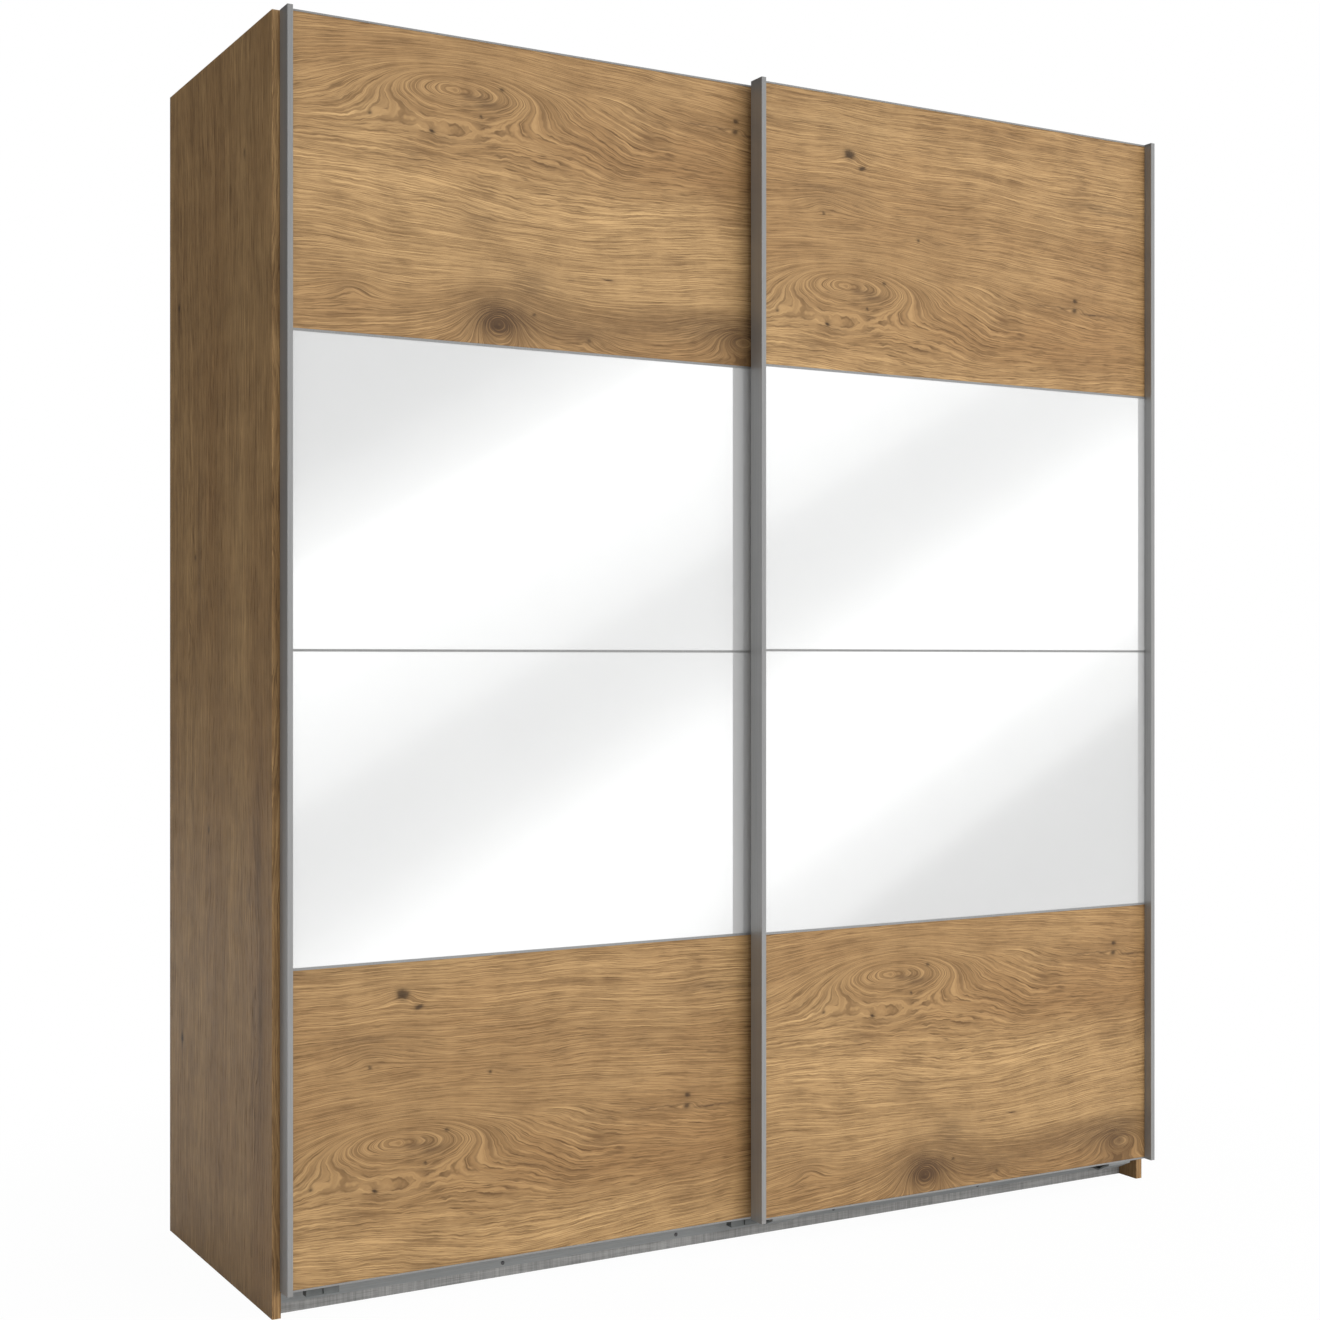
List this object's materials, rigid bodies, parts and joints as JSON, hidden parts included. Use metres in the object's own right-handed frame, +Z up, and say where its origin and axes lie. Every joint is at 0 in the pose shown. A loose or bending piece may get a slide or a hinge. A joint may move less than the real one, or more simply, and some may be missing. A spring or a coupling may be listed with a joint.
{
  "type": "sliding door wardrobe",
  "caption": "Tall two-door sliding wardrobe: oak-decor carcass, overlapping doors with oak and mirror fields in aluminium profiles, hung on a two-track rail.",
  "frame": {"origin": "on the floor, under the middle of the bounding box", "axes": "+Z up, doors face -Y, +X to the right seen from the front"},
  "size_m": [1.832, 0.6518, 2.1035],
  "materials": {
    "oak_front": "matt oak decor, grain across the door, light embossed pore",
    "oak_side": "matt oak decor, upright grain",
    "linen_board": "melamine-faced chipboard in a grey linen-like weave decor",
    "hardboard": "thin painted fibreboard",
    "door_aluminium": "satin anodised extrusion",
    "rail_metal": "plain mill-finish extrusion",
    "zinc_steel": "zinc-plated bent sheet",
    "chrome_tube": "bright",
    "mirror": "silvered float glass",
    "dark_plastic": "moulded, fine grain",
    "light_plastic": "moulded nylon",
    "rubber_stop": "soft buffer"
  },
  "bodies": {
    "carcass": {"side_panel_left": "oak_side", "side_panel_right": "oak_side", "centre_partition": "linen_board", "top_panel_left": "linen_board", "top_panel_right": "linen_board", "bottom_panel_left": "linen_board", "bottom_panel_right": "linen_board", "plinth_front": "linen_board", "plinth_rear": "linen_board", "back_panel_left": "hardboard", "back_panel_right": "hardboard", "back_joint_strip": "light_plastic", "shelf_left": "linen_board", "shelf_right": "linen_board", "clothes_rail_left": "chrome_tube", "clothes_rail_right": "chrome_tube", "clothes_rail_left_cradle_left": "dark_plastic", "clothes_rail_left_cradle_right": "dark_plastic", "clothes_rail_right_cradle_left": "dark_plastic", "clothes_rail_right_cradle_right": "dark_plastic", "running_rail": "rail_metal", "guide_rail": "rail_metal", "rail_stop_left": "rubber_stop", "rail_stop_right": "rubber_stop"},
    "left_door": {"left_door_profile_left": "door_aluminium", "left_door_profile_right": "door_aluminium", "left_door_edge_top": "door_aluminium", "left_door_edge_bottom": "door_aluminium", "left_door_oak_upper": "oak_front", "left_door_oak_lower": "oak_front", "left_door_mirror_upper": "mirror", "left_door_mirror_lower": "mirror", "left_door_mirror_backing": "hardboard", "left_door_divider_upper": "door_aluminium", "left_door_divider_middle": "door_aluminium", "left_door_divider_lower": "door_aluminium", "left_door_carriage_left": "zinc_steel", "left_door_carriage_right": "zinc_steel", "left_door_guide_left": "dark_plastic", "left_door_guide_right": "dark_plastic"},
    "right_door": {"right_door_profile_left": "door_aluminium", "right_door_profile_right": "door_aluminium", "right_door_edge_top": "door_aluminium", "right_door_edge_bottom": "door_aluminium", "right_door_oak_upper": "oak_front", "right_door_oak_lower": "oak_front", "right_door_mirror_upper": "mirror", "right_door_mirror_lower": "mirror", "right_door_mirror_backing": "hardboard", "right_door_divider_upper": "door_aluminium", "right_door_divider_middle": "door_aluminium", "right_door_divider_lower": "door_aluminium", "right_door_carriage_left": "zinc_steel", "right_door_carriage_right": "zinc_steel", "right_door_guide_left": "zinc_steel", "right_door_guide_right": "zinc_steel"},
    "left_door_wheel_left": {"left_door_wheel_left": "light_plastic"},
    "left_door_wheel_right": {"left_door_wheel_right": "light_plastic"},
    "right_door_wheel_left": {"right_door_wheel_left": "light_plastic"},
    "right_door_wheel_right": {"right_door_wheel_right": "light_plastic"}
  },
  "joints": [
    {"name": "left_door_slide", "type": "slide", "parent": "carcass", "child": "left_door", "axis": [1, 0, 0], "range_m": [0, 0.85]},
    {"name": "right_door_slide", "type": "slide", "parent": "carcass", "child": "right_door", "axis": [1, 0, 0], "range_m": [-0.85, 0]},
    {"name": "left_door_wheel_left_spin", "type": "hinge", "parent": "left_door", "child": "left_door_wheel_left", "pos_m": [-0.8143, -0.20665, 2.0713], "axis": [0, 1, 0], "continuous": true},
    {"name": "left_door_wheel_right_spin", "type": "hinge", "parent": "left_door", "child": "left_door_wheel_right", "pos_m": [-0.0532, -0.20665, 2.0713], "axis": [0, 1, 0], "continuous": true},
    {"name": "right_door_wheel_left_spin", "type": "hinge", "parent": "right_door", "child": "right_door_wheel_left", "pos_m": [0.0583, -0.17565, 2.0713], "axis": [0, 1, 0], "continuous": true},
    {"name": "right_door_wheel_right_spin", "type": "hinge", "parent": "right_door", "child": "right_door_wheel_right", "pos_m": [0.8194, -0.17565, 2.0713], "axis": [0, 1, 0], "continuous": true}
  ],
  "couplings": [
    {"joint": "left_door_wheel_left_spin", "follows": "left_door_slide", "rad_per_m": 83.333},
    {"joint": "left_door_wheel_right_spin", "follows": "left_door_slide", "rad_per_m": 83.333},
    {"joint": "right_door_wheel_left_spin", "follows": "right_door_slide", "rad_per_m": 83.333},
    {"joint": "right_door_wheel_right_spin", "follows": "right_door_slide", "rad_per_m": 83.333}
  ]
}
